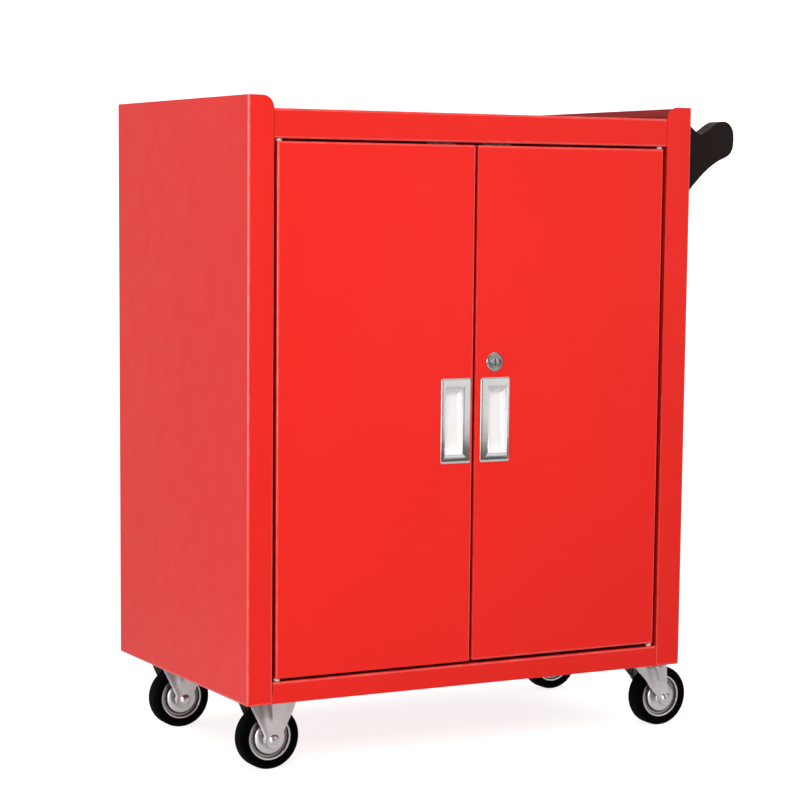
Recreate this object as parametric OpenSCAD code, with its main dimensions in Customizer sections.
// Rolling tool box: a two-door sheet-steel cabinet on four casters with a push handle.
// Every sub-part is drawn in the cabinet's own corner frame (x from the left side, y from
// the front face, z from the cabinet's bottom edge) and then placed so that the origin is
// on the floor, below the middle of the whole object.  +X right, +Y to the rear, +Z up.

/* [Cabinet] */
// Width of the cabinet over its two side panels
body_w = 631; // [600:1:760]
// Depth of the cabinet, front face to rear flange
body_d = 402; // [380:1:500]
// Height of the side panels, including the lip above the top
panel_h = 728; // [660:1:860]
// Height of the lip that stands above the top panel
lip_h = 15; // [10:1:20]
// Thickness of the sheet steel
sheet_t = 1; // [0.8:0.1:1.2]
// Mean width of the two front stiles
stile_w = 35.7; // [32:0.1:45]
// Distance of the door opening to the left of the cabinet's middle
opening_shift = 2.1; // [0:0.1:4]
// Height of the rail above the doors
top_rail_h = 35.5; // [30:0.5:45]
// Height of the rail below the doors
bottom_rail_h = 26.7; // [25:0.1:40]
// Height of the underside of the deck above the cabinet's bottom edge
deck_rise = 10; // [9:0.5:12]

/* [Doors] */
// Gap between a door and its stile
side_gap = 4.4; // [3.4:0.1:5]
// Gap between the two doors
centre_gap = 3.2; // [2:0.1:4]
// Distance of the seam between the doors to the left of the cabinet's middle
seam_shift = 4.5; // [0:0.1:8]
// Gap above the doors
top_gap = 2.6; // [2:0.1:4]
// Gap below the doors
bottom_gap = 3.8; // [3:0.1:5]
// Depth of a door, skin to inner return
door_d = 18; // [16:0.5:18]
// Distance of the pivot axis from the edge of the stile
pivot_in = 8.3; // [7.4:0.1:9]
// Distance of the pivot axis behind the front face
pivot_back = 6; // [5:0.1:6]
// Diameter of a pivot pin
pivot_d = 5; // [4:0.5:5]

/* [Pulls and lock] */
// Distance from the seam to the middle of the left pull
pull_left = 26.4; // [24:0.1:40]
// Distance from the seam to the middle of the right pull
pull_right = 30.2; // [28:0.1:40]
// Width of a pull's bezel
pull_w = 42.2; // [40:0.1:46]
// Height of a pull's bezel
pull_h = 106; // [90:1:130]
// Height of the middle of the pulls above the bottom edge
pull_z = 335; // [250:1:360]
// Distance from the seam to the lock
lock_off = 28.5; // [27:0.1:36]
// Height of the lock above the bottom edge
lock_z = 407.5; // [405:0.5:412]
// Diameter of the lock's face
lock_d = 24; // [22:0.5:26]
// Length of the lock's cam
cam_len = 37; // [34:1:40]

/* [Shelves] */
// Height of the top face of the upper shelf
shelf_top_z = 402; // [400:1:404]
// Height of the top face of the lower shelf
shelf_low_z = 206; // [150:1:250]
// Depth of a shelf's folded front edge
shelf_fold = 20; // [16:1:24]

/* [Casters] */
// Diameter of a wheel
wheel_d = 80; // [76:1:81]
// Width of a tyre
tyre_w = 26; // [22:1:28]
// Height of the cabinet's bottom edge above the floor
ground_gap = 94.5; // [90:0.5:110]
// Distance of a caster's middle from the left side
caster_in = 57; // [54:1:80]
// Distance of a swivel axis from the right side
swivel_in = 35; // [34:0.5:60]
// Distance of a caster's middle from the front or the rear
caster_y = 65; // [60:1:90]
// Trail of a swivel caster
trail = 45.5; // [36:0.5:47]

/* [Push handle] */
// How far the handle reaches out of the side panel
reach = 93; // [85:1:100]
// Thickness of a handle bracket
bracket_t = 24; // [20:1:30]
// Distance of a bracket from the front or the rear
bracket_y = 35; // [30:1:50]
// Diameter of the handle's tube
tube_d = 25; // [22:1:28]

/* [Hidden] */
$fn = 48;

// Radial clearances of holes
tight_gap = 0.02;
fit_gap = 0.05;
loose_gap = 0.1;

// Shell
top_z = panel_h - lip_h;                 // top face of the top panel
deck_z = deck_rise;                      // underside of the deck
wall_y = body_d - 2 * sheet_t;           // front face of the rear panel
inside_x = [sheet_t, body_w - sheet_t];
stile_l = stile_w - opening_shift;
stile_r = stile_w + opening_shift;
opening_x = [stile_l, body_w - stile_r];
open_z0 = bottom_rail_h;                 // door opening
open_z1 = top_z - top_rail_h;

// Doors and lock
door_z0 = open_z0 + bottom_gap;
door_z1 = open_z1 - top_gap;
seam_x = body_w / 2 - seam_shift;
left_door_x = [stile_l + side_gap, seam_x - centre_gap / 2];
right_door_x = [seam_x + centre_gap / 2, body_w - stile_r - side_gap];
left_pivot_x = stile_l + pivot_in;
right_pivot_x = body_w - stile_r - pivot_in;
pin_r = pivot_d / 2;
lock_x = seam_x + lock_off;
lock_proud = 2.5;

// Screws and bolts shared by several pieces
rear_screw_r = 1.9;
rear_head_h = 2.2;
rear_screw_x = [9, body_w - 9];
rear_screw_z = [60, panel_h / 2, panel_h - 60];
handle_screw_r = 2.5;
handle_screw_z = [top_z - 101, top_z - 9];
caster_bolt_r = 3;
caster_hole_r = 3.3;

// Rows of casters and brackets, front then rear
front_y = caster_y;
rear_y = body_d - caster_y;
rows_y = [front_y, rear_y];
bracket_rows = [bracket_y, body_d - bracket_y - bracket_t];
swivel_x = body_w - swivel_in;
swivel_holes = [21, 34];                 // half pitches of the plate holes
fixed_holes = [38, 24];

// Middle of the whole object, from the left side to the handle and from lock to screw heads
mid_x = (body_w + reach) / 2;
mid_y = (body_d + rear_head_h - lock_proud) / 2;

red = [0.93, 0.16, 0.13];
steel = [0.72, 0.72, 0.73];
chrome = [0.85, 0.86, 0.88];
black = [0.08, 0.08, 0.08];
nylon = [0.92, 0.91, 0.88];

// ---------- helpers ----------
// A span is a pair [from, to] along an axis.
module place() translate([-mid_x, -mid_y, ground_gap]) children();
module block(xs, ys, zs)
  translate([xs[0], ys[0], zs[0]]) cube([xs[1] - xs[0], ys[1] - ys[0], zs[1] - zs[0]]);
module rod_z(x, y, span, radius)
  translate([x, y, span[0]]) cylinder(h = span[1] - span[0], r = radius);
module rod_y(x, z, span, radius)
  translate([x, span[0], z]) rotate([-90, 0, 0]) cylinder(h = span[1] - span[0], r = radius);
module rod_x(y, z, span, radius)
  translate([span[0], y, z]) rotate([0, 90, 0]) cylinder(h = span[1] - span[0], r = radius);
// An outline in x and z, extruded along y
module prism_y(span)
  rotate([90, 0, 0]) translate([0, 0, -span[1]]) linear_extrude(span[1] - span[0]) children();
module turned_y() rotate([-90, 0, 0]) rotate_extrude() children();
module other_side() translate([body_w, 0, 0]) mirror([1, 0, 0]) children();
module both_sides() {
  children();
  other_side() children();
}

// Places at the four corners given by half pitches in x and y
module each_plate_hole(half_pitch)
  for (side_x = [-1, 1]) for (side_y = [-1, 1])
    translate([side_x * half_pitch[0], side_y * half_pitch[1], 0]) children();
module each_caster_bolt() for (y = rows_y) {
  translate([caster_in, y, 0]) each_plate_hole(fixed_holes) children();
  translate([swivel_x, y, 0]) each_plate_hole(swivel_holes) children();
}

// Half an outline, then its points in reverse order, each multiplied by flip
function with_mirror(half, flip) = concat(half, [for (i = [len(half) - 1 : -1 : 0])
  [flip[0] * half[i][0], flip[1] * half[i][1]]]);

// A smooth run through a list of points (Catmull-Rom); it stops a step short of the last point
function run_point(points, i) = points[min(max(i, 0), len(points) - 1)];
function spline_point(points, i, part) =
  let (
    before = run_point(points, i - 1),
    start = run_point(points, i),
    end = run_point(points, i + 1),
    after = run_point(points, i + 2))
  0.5 * (2 * start + (end - before) * part
    + (2 * before - 5 * start + 4 * end - after) * part * part
    + (3 * start - before - 3 * end + after) * part * part * part);
function smooth_run(points, steps) =
  [for (i = [0 : len(points) - 2]) for (k = [0 : steps - 1]) spline_point(points, i, k / steps)];

// ---------- cabinet shell ----------
stile_d = 25;            // depth of a stile's return
stile_return_x = 20;     // outer edge of the inner return
rear_flange_w = 18;
foot_flange_w = 12;
hem_h = 9;
side_hem_x = 3;          // inner face of a side hem, from the outer face
rear_hem_d = 2;
rear_hem_in = 4;
top_rail_d = 36;
top_return_h = 13;
top_flange_h = 21;
sill_d = 22;

// Front stile, seen from the front: its inner top corner is a quarter round
module stile_outline(width) difference() {
  square([width, panel_h]);
  translate([width - lip_h, top_z]) difference() {
    square([lip_h + 1, lip_h + 1]);
    circle(r = lip_h);
  }
}

// One side: skin, stile with its returns, rear flange, hem along the lip, foot flange
module side_shell(width) {
  hem_y = [sheet_t, body_d - 6];
  block([0, sheet_t], [0, body_d], [0, panel_h]);
  prism_y([0, sheet_t]) stile_outline(width);
  block([width - sheet_t, width], [sheet_t, stile_d], [open_z0, open_z1]);
  block([stile_return_x, width - sheet_t], [stile_d - sheet_t, stile_d], [open_z0, open_z1]);
  block([sheet_t, rear_flange_w], [body_d - sheet_t, body_d], [0, panel_h]);
  block([sheet_t, side_hem_x], hem_y, [panel_h - sheet_t, panel_h]);
  block([side_hem_x - sheet_t, side_hem_x], hem_y, [panel_h - hem_h, panel_h - sheet_t]);
  block([sheet_t, foot_flange_w], [sheet_t, body_d - sheet_t], [0, sheet_t]);
}

module rear_screw_holes() for (x = rear_screw_x) for (z = rear_screw_z)
  rod_y(x, z, [body_d - 10, body_d + 5], rear_screw_r + loose_gap);

module pivot_pin_holes(z) for (x = [left_pivot_x, right_pivot_x])
  rod_z(x, pivot_back, [z - 5, z + 5], pin_r + tight_gap);

module left_side_panel() color(red) place() difference() {
  side_shell(stile_l);
  rear_screw_holes();
}

module right_side_panel() color(red) place() difference() {
  other_side() side_shell(stile_r);
  rear_screw_holes();
  for (y = bracket_rows) for (z = handle_screw_z)
    rod_x(y + bracket_t / 2, z, [body_w - 10, body_w + 5], handle_screw_r + loose_gap);
}

// Rear sheet with a hem along its top edge
module rear_panel() color(red) place() difference() {
  hem_x = [rear_hem_in, body_w - rear_hem_in];
  hem_y = wall_y - rear_hem_d;
  union() {
    block(inside_x, [wall_y, wall_y + sheet_t], [sheet_t, panel_h]);
    block(hem_x, [hem_y, wall_y], [panel_h - sheet_t, panel_h]);
    block(hem_x, [hem_y, hem_y + sheet_t], [panel_h - hem_h, panel_h - sheet_t]);
  }
  rear_screw_holes();
}

// Top sheet with the front rail folded down and its lower return, and flanges at the other edges
module top_panel() color(red) place() difference() {
  flange_z = [top_z - top_flange_h, top_z - sheet_t];
  union() {
    block(inside_x, [sheet_t, wall_y], [top_z - sheet_t, top_z]);
    block(opening_x, [0, sheet_t], [open_z1, top_z]);
    block(opening_x, [sheet_t, top_rail_d], [open_z1, open_z1 + sheet_t]);
    block(opening_x, [top_rail_d - sheet_t, top_rail_d],
      [open_z1 + sheet_t, open_z1 + top_return_h]);
    for (x = [sheet_t, body_w - 2 * sheet_t])
      block([x, x + sheet_t], [26, wall_y], flange_z);
    block([2 * sheet_t, body_w - 2 * sheet_t], [wall_y - sheet_t, wall_y], flange_z);
  }
  pivot_pin_holes(open_z1);
  for (y = bracket_rows)
    rod_x(y + bracket_t / 2, handle_screw_z[1], [body_w - 10, body_w],
      handle_screw_r + loose_gap);
}

// Deck, which carries the casters, with flanges down its sides and rear
module bottom_panel() color(red) place() difference() {
  union() {
    block(inside_x, [sheet_t, wall_y], [deck_z, deck_z + sheet_t]);
    for (x = [sheet_t, body_w - 2 * sheet_t])
      block([x, x + sheet_t], [sheet_t, wall_y], [sheet_t, deck_z]);
    block([2 * sheet_t, body_w - 2 * sheet_t], [wall_y - sheet_t, wall_y], [sheet_t, deck_z]);
  }
  each_caster_bolt() rod_z(0, 0, [deck_z - 5, deck_z + 5], caster_hole_r);
}

// Rail below the doors: face, sill and a foot that stands on the deck
module bottom_front_rail() color(red) place() difference() {
  union() {
    block(opening_x, [0, sheet_t], [0, open_z0]);
    block(opening_x, [sheet_t, sill_d], [open_z0 - sheet_t, open_z0]);
    block(opening_x, [sill_d - sheet_t, sill_d], [deck_z + sheet_t, open_z0 - sheet_t]);
  }
  pivot_pin_holes(open_z0);
}

// ---------- shelves ----------
standard_y = [60, body_d - 84];
standard_w = 16;
standard_d = 8;
standard_wall = 1.2;
standard_z = [50, open_z1 - 20];
standard_face = sheet_t + standard_d;    // x of the channel's face
slot_pitch = 24;
slot_h = 10;
clip_h = 14;
tongue_len = 14;

// Tray with its front and rear edges folded down, the front one also folded back
module shelf(z) {
  xs = [standard_face + 1, body_w - standard_face - 1];
  front = 30;
  rear = wall_y - 4;
  fold_z = z - shelf_fold;
  block(xs, [front, rear], [z - sheet_t, z]);
  block(xs, [front, front + sheet_t], [fold_z, z - sheet_t]);
  block(xs, [rear - sheet_t, rear], [fold_z, z - sheet_t]);
  block(xs, [front + sheet_t, front + 9], [fold_z, fold_z + sheet_t]);
}
module upper_shelf() color(red) place() shelf(shelf_top_z);
module lower_shelf() color(red) place() shelf(shelf_low_z);

// Slotted channels that carry the shelf clips
module standard(y) difference() {
  block([sheet_t, standard_face], [y, y + standard_w], standard_z);
  block([sheet_t - 1, standard_face - standard_wall],
    [y + standard_wall, y + standard_w - standard_wall], [standard_z[0] - 1, standard_z[1] + 1]);
  for (z = [standard_z[0] + slot_pitch : slot_pitch : standard_z[1] - 12])
    block([sheet_t + 1, standard_face + 1], [y + 6, y + 10], [z, z + slot_h]);
}
module shelf_standards() color(steel) place() for (y = standard_y) both_sides() standard(y);

// A clip's plate hangs on the channel and its tongue carries the shelf
module clip(y, shelf_z) {
  ys = [y + 1, y + standard_w - 1];
  z = shelf_z - sheet_t;
  block([standard_face, standard_face + 1], ys, [z - clip_h, z - 0.5]);
  block([standard_face + 1, standard_face + 1 + tongue_len], ys, [z - 1.5, z]);
}
module shelf_clips() color(steel) place() for (z = [shelf_top_z, shelf_low_z])
  for (y = standard_y) both_sides() clip(y, z);

// ---------- casters ----------
wheel_r = wheel_d / 2;
wheel_x = swivel_x + trail;
axle_z = wheel_r - ground_gap;
plate_t = 2.5;
plate_z = deck_z - plate_t;              // underside of a caster plate
plate_corner_r = 6;
swivel_plate_size = [57, 84];
fixed_plate_size = [92, 66];
leg_in = 19;                             // half the gap between two legs
leg_t = 2.3;
leg_out = leg_in + leg_t;
axle_r = 4;
sleeve_r = 6;
kingpin_r = 5;
kingpin_head_r = 8;
kingpin_head_h = 1.5;
ball_r = 2.45;
ball_ring_r = 13.5;

module at_left(y, z = 0) translate([caster_in, y, z]) children();
module at_swivel(y) translate([swivel_x, y, 0]) children();
module at_right_wheel(y) translate([wheel_x, y, axle_z]) children();

// Plate with four holes and rounded corners
module plate_blank(size, holes) difference() {
  corner_cut = plate_corner_r + 1;
  block([-size[0] / 2, size[0] / 2], [-size[1] / 2, size[1] / 2], [plate_z, deck_z]);
  each_plate_hole(holes) rod_z(0, 0, [plate_z - 1, deck_z + 1], caster_hole_r);
  for (side_x = [-1, 1]) for (side_y = [-1, 1])
    translate([side_x * (size[0] / 2 - plate_corner_r),
        side_y * (size[1] / 2 - plate_corner_r), plate_z - 1])
      difference() {
        translate([side_x > 0 ? 0 : -corner_cut, side_y > 0 ? 0 : -corner_cut, 0])
          cube([corner_cut, corner_cut, plate_t + 2]);
        translate([0, 0, -1]) cylinder(h = plate_t + 4, r = plate_corner_r);
      }
}

module two_legs() for (y = [-leg_out, leg_in]) prism_y([y, y + leg_t]) children();
module axle_hole(x) rod_y(x, axle_z, [-leg_in - 5, leg_in + 5], axle_r + fit_gap);

// Left edge of a fixed leg, [x, z]: wide under the plate, narrow at the axle
fixed_eye_r = 11.5;
fixed_edge = [
  [-31, plate_z], [-31, -9], [-29, -15], [-24.5, -25], [-21.5, -30.5],
  [-18.3, -37], [-15.2, -43], [-12, -50], [-fixed_eye_r, axle_z]];
module fixed_leg() {
  polygon(with_mirror(fixed_edge, [-1, 1]));
  translate([0, axle_z]) circle(r = fixed_eye_r);
}
module fixed_bracket() difference() {
  union() {
    plate_blank(fixed_plate_size, fixed_holes);
    two_legs() fixed_leg();
  }
  axle_hole(0);
}
module front_left_caster_bracket() color(steel) place() at_left(front_y) fixed_bracket();
module rear_left_caster_bracket() color(steel) place() at_left(rear_y) fixed_bracket();

// Plate of a swivel caster, with the cup that shields the ball race
module swivel_plate() difference() {
  union() {
    plate_blank(swivel_plate_size, swivel_holes);
    difference() {
      rod_z(0, 0, [3.6, plate_z], 25);
      rod_z(0, 0, [3, plate_z], 23);
    }
  }
  rod_z(0, 0, [plate_z - 1, deck_z + 1], kingpin_r + tight_gap);
  rod_z(0, 0, [deck_z - kingpin_head_h, deck_z + 1], kingpin_head_r + tight_gap);
}
module front_right_caster_plate() color(steel) place() at_swivel(front_y) swivel_plate();
module rear_right_caster_plate() color(steel) place() at_swivel(rear_y) swivel_plate();

// Head sunk in the plate, shank, and a wider foot inside the fork's crown
module kingpin() {
  rod_z(0, 0, [deck_z - kingpin_head_h, deck_z], kingpin_head_r);
  rod_z(0, 0, [-3, deck_z - 1], kingpin_r);
  rod_z(0, 0, [-3.5, -0.1], 8.5);
}
module swivel_kingpins() color(steel) place() for (y = rows_y) at_swivel(y) kingpin();

module swivel_bearing_balls() color(chrome) place() for (y = rows_y) for (a = [0 : 24 : 359])
  translate([swivel_x + ball_ring_r * cos(a), y + ball_ring_r * sin(a), plate_z - 2.5])
    sphere(r = ball_r);

// Fork that turns under a swivel plate: a pressed crown with its race wall, and two legs that
// slant to the right down to the axle.  Outside the crown everything stays below the
// cabinet's bottom edge.
crown_r = 21;
crown_z = [-4, -1.5];                    // of the bridge between the legs
fork_top_x = [-50, 1.5];                 // from the axle
// Outline of a leg: x from the axle, z
fork_leg = [
  [fork_top_x[0], -1.5], [-50, -5], [-42.3, -17], [-30.8, -29.7], [-24.4, -39.3],
  [-16.5, -48], [-9.8, axle_z], [9.8, axle_z], [5, -45.5], [3, -36],
  [2.5, -25], [1.5, -12], [fork_top_x[1], -1.5]];
module swivel_leg() {
  polygon([for (point = fork_leg) [trail + point[0], point[1]]]);
  translate([trail, axle_z]) circle(r = 10);
}
module swivel_fork() difference() {
  union() {
    rod_z(0, 0, [crown_z[0], 2.5], crown_r);
    block([trail + fork_top_x[0], trail + fork_top_x[1]], [-leg_out, leg_out], crown_z);
    difference() {
      rod_z(0, 0, [2, 6.6], crown_r);
      rod_z(0, 0, [1, 7], crown_r - 2);
    }
    two_legs() swivel_leg();
  }
  rod_z(0, 0, [crown_z[0] - 1, 0], crown_r - 2.7);
  rod_z(0, 0, [-1, 9], kingpin_r + fit_gap);
  axle_hole(trail);
}
module front_right_fork() color(steel) place() at_swivel(front_y) swivel_fork();
module rear_right_fork() color(steel) place() at_swivel(rear_y) swivel_fork();

// Plate bolts: round heads stand inside the cabinet, nuts sit under the plates
module caster_bolts() color(steel) place() each_caster_bolt() {
  rod_z(0, 0, [3.2, deck_z + sheet_t], caster_bolt_r);
  rod_z(0, 0, [deck_z + sheet_t, deck_z + sheet_t + 3], 6);
}
module caster_nuts() color(steel) place() each_caster_bolt() difference() {
  translate([0, 0, plate_z - 4]) cylinder(h = 4, r = 5.77, $fn = 6);
  rod_z(0, 0, [plate_z - 5, plate_z + 1], caster_bolt_r + fit_gap);
}

// Axle hardware about a wheel's middle: a domed head in front, a nut behind
head_dome_r = 8.6;
head_h = 4.2;
head_r = 6.5;
module axle_bolt() {
  rod_y(0, 0, [-leg_out - 1, leg_out + 7], axle_r);
  translate([0, -leg_out, 0]) intersection() {
    translate([0, head_dome_r - head_h, 0]) sphere(r = head_dome_r);
    rod_y(0, 0, [-5, 0], head_r);
  }
}
module axle_nut() difference() {
  translate([0, leg_out, 0]) rotate([-90, 0, 0]) cylinder(h = 6, r = 7.5, $fn = 6);
  rod_y(0, 0, [leg_in, leg_out + 8], axle_r + fit_gap);
}
module axle_sleeve() difference() {
  rod_y(0, 0, [-leg_in, leg_in], sleeve_r);
  rod_y(0, 0, [-leg_in - 1, leg_in + 1], axle_r + fit_gap);
}
module at_left_wheels() for (y = rows_y) at_left(y, axle_z) children();
module left_axle_bolts() color(steel) place() at_left_wheels() axle_bolt();
module left_axle_nuts() color(steel) place() at_left_wheels() axle_nut();
module left_axle_sleeves() color(steel) place() at_left_wheels() axle_sleeve();
module front_right_axle_bolt() color(steel) place() at_right_wheel(front_y) axle_bolt();
module front_right_axle_nut() color(steel) place() at_right_wheel(front_y) axle_nut();
module front_right_axle_sleeve() color(steel) place() at_right_wheel(front_y) axle_sleeve();
module rear_right_axle_bolt() color(steel) place() at_right_wheel(rear_y) axle_bolt();
module rear_right_axle_nut() color(steel) place() at_right_wheel(rear_y) axle_nut();
module rear_right_axle_sleeve() color(steel) place() at_right_wheel(rear_y) axle_sleeve();

// Half section of a pressed hub, [radius, half width]: barrel, dome, groove and rim seat
rim_r = 29.2;
hub_half = [
  [sleeve_r + fit_gap, 18.6], [9.5, 18.6], [9.5, 13.8], [21, 9.8], [21.7, 5.6],
  [25.4, 5.6], [26.2, 9.8], [rim_r, 9.8], [rim_r, 2.4], [rim_r - 1.6, 2.4],
  [rim_r - 1.6, 4.1], [20.4, 4.1], [19.6, 8.2], [8.6, 12]];
module hub() turned_y() polygon(with_mirror(hub_half, [1, -1]));

// Tyre on the rim, with rounded shoulders
shoulder = 7;
module tyre_section() difference() {
  union() {
    translate([rim_r, -tyre_w / 2]) square([wheel_r - shoulder - rim_r, tyre_w]);
    translate([rim_r, -tyre_w / 2 + shoulder]) square([wheel_r - rim_r, tyre_w - 2 * shoulder]);
    for (side = [-1, 1])
      translate([wheel_r - shoulder, side * (tyre_w / 2 - shoulder)]) circle(r = shoulder);
  }
  translate([0, -tyre_w]) square([rim_r, 2 * tyre_w]);
}
module tyre() turned_y() tyre_section();

module front_left_wheel_hub() color(steel) place() at_left(front_y, axle_z) hub();
module rear_left_wheel_hub() color(steel) place() at_left(rear_y, axle_z) hub();
module front_right_wheel_hub() color(steel) place() at_right_wheel(front_y) hub();
module rear_right_wheel_hub() color(steel) place() at_right_wheel(rear_y) hub();
module front_left_tyre() color(black) place() at_left(front_y, axle_z) tyre();
module rear_left_tyre() color(black) place() at_left(rear_y, axle_z) tyre();
module front_right_tyre() color(black) place() at_right_wheel(front_y) tyre();
module rear_right_tyre() color(black) place() at_right_wheel(rear_y) tyre();

// ---------- push handle ----------
tube_x = body_w + reach - 19;
tube_z = top_z - 26;
tube_wall = 1.5;
socket_d = 12;                           // depth of the tube's socket in a bracket

// Curved part of a bracket's outline: x out of the panel, z from the top panel's top face.
// An arm sweeps up to a rounded head round the tube and returns to the foot on the panel.
bracket_run = [
  [12, 3.5], [18, -2], [25, -8], [31, -12.8], [36.2, -15.9], [40.2, -17],
  [46, -14.9], [52.2, -11.2], [57.7, -7.4], [63, -3.9], [68.4, -1.2], [74, 0.1],
  [79.2, 0], [84.5, -2.2], [89, -6.3], [reach - 1.1, -12], [reach - 0.1, -19],
  [reach, -26], [reach - 0.5, -32], [91, -36.8], [88.3, -41.2], [83.7, -44.9],
  [77.4, -47.8], [70.9, -50.6], [64.5, -54], [58.1, -58.1], [51.6, -63], [44.4, -69],
  [37.6, -75.5], [31, -82.2], [24.6, -89.3], [18.5, -97], [12.8, -105.3], [8.8, -112.5]];
bracket_outline = concat(
  [[0, 12], [4, 12], [8, 9]],
  smooth_run(bracket_run, steps = 3),
  [[8.6, -116], [6, -119], [0, -119]]);

// socket: span of the tube's socket, from the bracket's front face
module bracket(y, socket) difference() {
  translate([body_w, 0, top_z]) prism_y([y, y + bracket_t]) polygon(bracket_outline);
  rod_y(tube_x, tube_z, [y + socket[0], y + socket[1]], tube_d / 2 + fit_gap);
  for (z = handle_screw_z)
    rod_x(y + bracket_t / 2, z, [body_w - 1, body_w + 7], handle_screw_r + tight_gap);
}
module handle_front_bracket() color(black) place()
  bracket(bracket_rows[0], [bracket_t - socket_d, bracket_t + 1]);
module handle_rear_bracket() color(black) place() bracket(bracket_rows[1], [-1, socket_d]);
module handle_tube() color(black) place() difference() {
  rod_y(tube_x, tube_z, [bracket_rows[0] + bracket_t - socket_d, bracket_rows[1] + socket_d],
    tube_d / 2);
  rod_y(tube_x, tube_z, [bracket_rows[0], bracket_rows[1] + bracket_t], tube_d / 2 - tube_wall);
}
// The lower screws pass one sheet, the upper ones also the top panel's flange
module handle_screws() color(steel) place() for (y = bracket_rows)
  translate([0, y + bracket_t / 2, 0]) for (i = [0, 1]) {
    seat = body_w - (i + 1) * sheet_t;
    rod_x(0, handle_screw_z[i], [seat - 2.5, seat], 4.5);
    rod_x(0, handle_screw_z[i], [seat, body_w + 6], handle_screw_r);
  }

// ---------- doors ----------
return_w = 12;                           // inner return of a door
pocket_off = 3;                          // pocket's middle, from the pull's, away from the seam
pull_proud = 1.8;
bush_r = 3.2;
bush_collar_r = 4;
pin_head_r = 4.2;
pin_head_h = 2.5;
lock_body_r = 9.5;
catch_off = 40;                          // middle of a catch, from the seam
hat_half_w = 18;
hat_inner = 17;
hat_brim = 30;
hat_y = 14;                              // rear face of a stiffener

// Folded door tray: skin, four edges and their inner returns
module door_tray(xs) {
  return_y = [door_d - sheet_t, door_d];
  return_h = return_w - sheet_t;
  block(xs, [0, sheet_t], [door_z0, door_z1]);
  for (x = [xs[0], xs[1] - sheet_t])
    block([x, x + sheet_t], [sheet_t, door_d], [door_z0, door_z1]);
  for (z = [door_z0, door_z1 - sheet_t])
    block([xs[0] + sheet_t, xs[1] - sheet_t], [sheet_t, door_d], [z, z + sheet_t]);
  for (x = [xs[0] + sheet_t, xs[1] - return_w])
    block([x, x + return_h], return_y, [door_z0 + sheet_t, door_z1 - sheet_t]);
  for (z = [door_z0 + sheet_t, door_z1 - return_w])
    block([xs[0] + return_w, xs[1] - return_w], return_y, [z, z + return_h]);
}
module bush_holes(x) for (span = [[door_z0 - 1, door_z0 + 4], [door_z1 - 4, door_z1 + 1]])
  rod_z(x, pivot_back, span, bush_r + fit_gap);
module pull_cut(x) block([x - 15.5, x + 15.5], [-1, sheet_t + 1], [pull_z - 47, pull_z + 47]);

module left_door_skin() color(red) place() difference() {
  door_tray(left_door_x);
  bush_holes(left_pivot_x);
  pull_cut(seam_x - pull_left - pocket_off);
}
module right_door_skin() color(red) place() difference() {
  door_tray(right_door_x);
  bush_holes(right_pivot_x);
  pull_cut(seam_x + pull_right + pocket_off);
  rod_y(lock_x, lock_z, [-1, sheet_t + 1], lock_body_r + loose_gap);
}

// Upright hat-section stiffener on the back of the skin: two brims, two webs and the crown
module stiffener(door_x) {
  x = (door_x[0] + door_x[1]) / 2;
  zs = [door_z0 + 30, door_z1 - 30];
  for (brim = [[x - hat_brim, x - hat_inner], [x + hat_inner, x + hat_brim]])
    block(brim, [sheet_t, 2 * sheet_t], zs);
  for (web = [[x - hat_half_w, x - hat_inner], [x + hat_inner, x + hat_half_w]])
    block(web, [2 * sheet_t, hat_y - sheet_t], zs);
  block([x - hat_half_w, x + hat_half_w], [hat_y - sheet_t, hat_y], zs);
}
module left_door_stiffener() color(red) place() stiffener(left_door_x);
module right_door_stiffener() color(red) place() stiffener(right_door_x);

// Flush pull: a bezel on the skin and a finger pocket behind it
module flush_pull(x, pocket_x) translate([x, 0, pull_z]) difference() {
  union() {
    block([-pull_w / 2, pull_w / 2], [-pull_proud, 0], [-pull_h / 2, pull_h / 2]);
    block([pocket_x - 14.8, pocket_x + 14.8], [0, 15], [-46, 46]);
  }
  block([pocket_x - 12.2, pocket_x + 12.2], [-5, 13], [-41, 41]);
}
module left_flush_pull() color(chrome) place() flush_pull(seam_x - pull_left, -pocket_off);
module right_flush_pull() color(chrome) place() flush_pull(seam_x + pull_right, pocket_off);

// Pivot pins stand in the rails, nylon bushes turn with the doors
module pivot_pins(x) {
  upper = open_z1 + sheet_t;
  lower = open_z0 - sheet_t;
  rod_z(x, pivot_back, [open_z1 - 9, upper], pin_r);
  rod_z(x, pivot_back, [upper, upper + pin_head_h], pin_head_r);
  rod_z(x, pivot_back, [lower, open_z0 + 10], pin_r);
  rod_z(x, pivot_back, [lower - pin_head_h, lower], pin_head_r);
}
module door_pivot_pins() color(steel) place() {
  pivot_pins(left_pivot_x);
  pivot_pins(right_pivot_x);
}
module bushes(x) difference() {
  union() {
    rod_z(x, pivot_back, [door_z1, open_z1 - 0.2], bush_collar_r);
    rod_z(x, pivot_back, [door_z1 - 3, door_z1], bush_r);
    rod_z(x, pivot_back, [open_z0 + 0.1, door_z0], bush_collar_r);
    rod_z(x, pivot_back, [door_z0, door_z0 + 3], bush_r);
  }
  rod_z(x, pivot_back, [open_z0 - 1, open_z1 + 1], pin_r + fit_gap);
}
module left_door_bushes() color(nylon) place() bushes(left_pivot_x);
module right_door_bushes() color(nylon) place() bushes(right_pivot_x);

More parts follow.
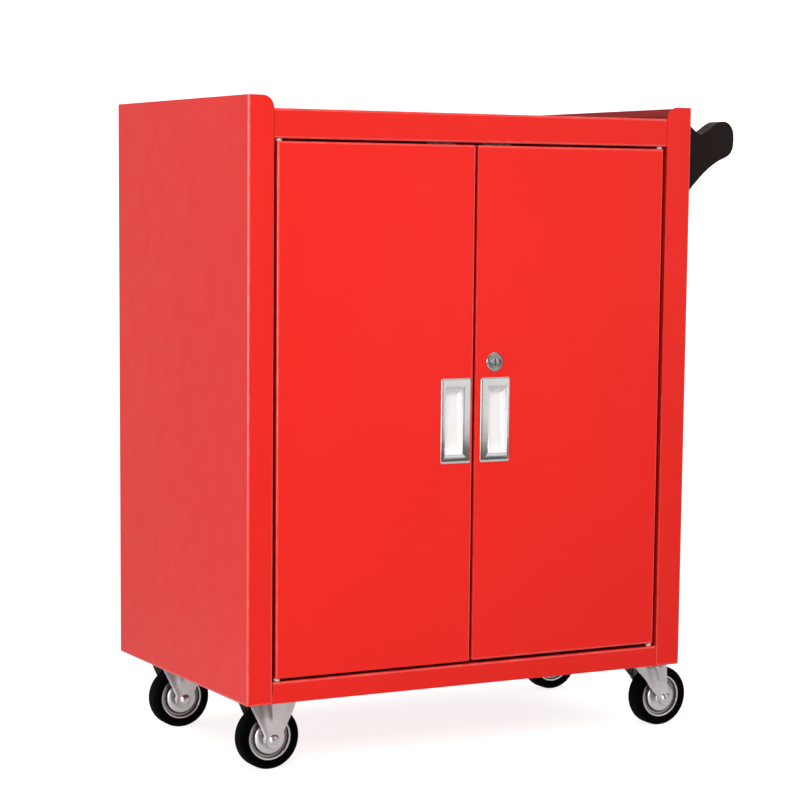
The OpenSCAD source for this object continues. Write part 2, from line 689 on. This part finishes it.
// Magnetic catches under the top rail and their strike plates on the doors
module magnet_catches() color(nylon) place() for (side = [-1, 1])
  translate([seam_x + side * catch_off, 0, 0]) difference() {
    block([-20, 20], [door_d + 1.5, 34], [open_z1 - 14, open_z1]);
    for (x = [-14, 10])
      block([x, x + 4], [door_d + 1, door_d + 5], [open_z1 - 12, open_z1 - 3]);
  }
module catch_plate(x)
  block([x - 15, x + 15], [door_d, door_d + 1.2], [door_z1 - 11, door_z1 - 1]);
module left_catch_plate() color(steel) place() catch_plate(seam_x - catch_off);
module right_catch_plate() color(steel) place() catch_plate(seam_x + catch_off);

// ---------- lock ----------
plug_r = 6;
cam_y = door_d + 4;                      // front face of the cam
cam_t = 2;
cam_screw_r = 2;
strike_t = 1.5;

module lock_rod(span, radius) rod_y(lock_x, lock_z, span, radius);

module lock_housing() color(chrome) place() difference() {
  union() {
    lock_rod([-lock_proud, 0], lock_d / 2);
    lock_rod([0, door_d + 2.5], lock_body_r);
  }
  lock_rod([-5, cam_y], plug_r + fit_gap);
}
module lock_nut() color(steel) place() difference() {
  translate([lock_x, sheet_t, lock_z]) rotate([-90, 0, 0]) cylinder(h = 4.5, r = 13, $fn = 6);
  lock_rod([0, 10], lock_body_r + fit_gap);
}
// Plug with an upright key slot in front and the cam screw's hole behind
module lock_plug() color(chrome) place() difference() {
  lock_rod([-lock_proud + 0.5, cam_y], plug_r);
  block([lock_x - 0.8, lock_x + 0.8], [-5, 8], [lock_z - 4.2, lock_z + 4.2]);
  lock_rod([10, cam_y + 1], cam_screw_r + fit_gap);
}
// Cam: an upright tongue when open; a quarter turn brings it behind the strike
module lock_cam() color(steel) place() difference() {
  union() {
    lock_rod([cam_y, cam_y + cam_t], 8);
    block([lock_x - 6, lock_x + 6], [cam_y, cam_y + cam_t], [lock_z, lock_z + cam_len]);
  }
  lock_rod([cam_y - 1, cam_y + 3], cam_screw_r + fit_gap);
}
module cam_screw() color(steel) place() {
  lock_rod([cam_y - 8, cam_y + cam_t], cam_screw_r);
  lock_rod([cam_y + cam_t, cam_y + 4.5], 4);
}
// Strike: a bent strip on the front edge of the upper shelf
module lock_strike() color(steel) place() {
  xs = [seam_x - 15, seam_x + 6];
  bend_y = door_d + 2.5;
  bend_z = lock_z - 8.5;
  block(xs, [28.5, 30], [shelf_top_z - 18, bend_z]);
  block(xs, [bend_y, 28.5], [bend_z - strike_t, bend_z]);
  block(xs, [bend_y - strike_t, bend_y], [bend_z - strike_t, lock_z + 8]);
}

module rear_panel_screws() color(steel) place() for (x = rear_screw_x) for (z = rear_screw_z) {
  rod_y(x, z, [body_d - 8, body_d], rear_screw_r);
  rod_y(x, z, [body_d, body_d + rear_head_h], 4.2);
}

left_side_panel();
right_side_panel();
rear_panel();
top_panel();
bottom_panel();
bottom_front_rail();
upper_shelf();
lower_shelf();
shelf_standards();
shelf_clips();
front_left_caster_bracket();
rear_left_caster_bracket();
left_axle_bolts();
left_axle_nuts();
left_axle_sleeves();
front_right_caster_plate();
rear_right_caster_plate();
caster_bolts();
caster_nuts();
swivel_bearing_balls();
swivel_kingpins();
handle_front_bracket();
handle_rear_bracket();
handle_tube();
handle_screws();
door_pivot_pins();
magnet_catches();
lock_strike();
rear_panel_screws();
left_door_skin();
left_door_stiffener();
left_flush_pull();
left_door_bushes();
left_catch_plate();
right_door_skin();
right_door_stiffener();
right_flush_pull();
right_door_bushes();
right_catch_plate();
lock_housing();
lock_nut();
lock_plug();
lock_cam();
cam_screw();
front_right_fork();
front_right_axle_bolt();
front_right_axle_nut();
front_right_axle_sleeve();
rear_right_fork();
rear_right_axle_bolt();
rear_right_axle_nut();
rear_right_axle_sleeve();
front_left_wheel_hub();
front_left_tyre();
rear_left_wheel_hub();
rear_left_tyre();
front_right_wheel_hub();
front_right_tyre();
rear_right_wheel_hub();
rear_right_tyre();
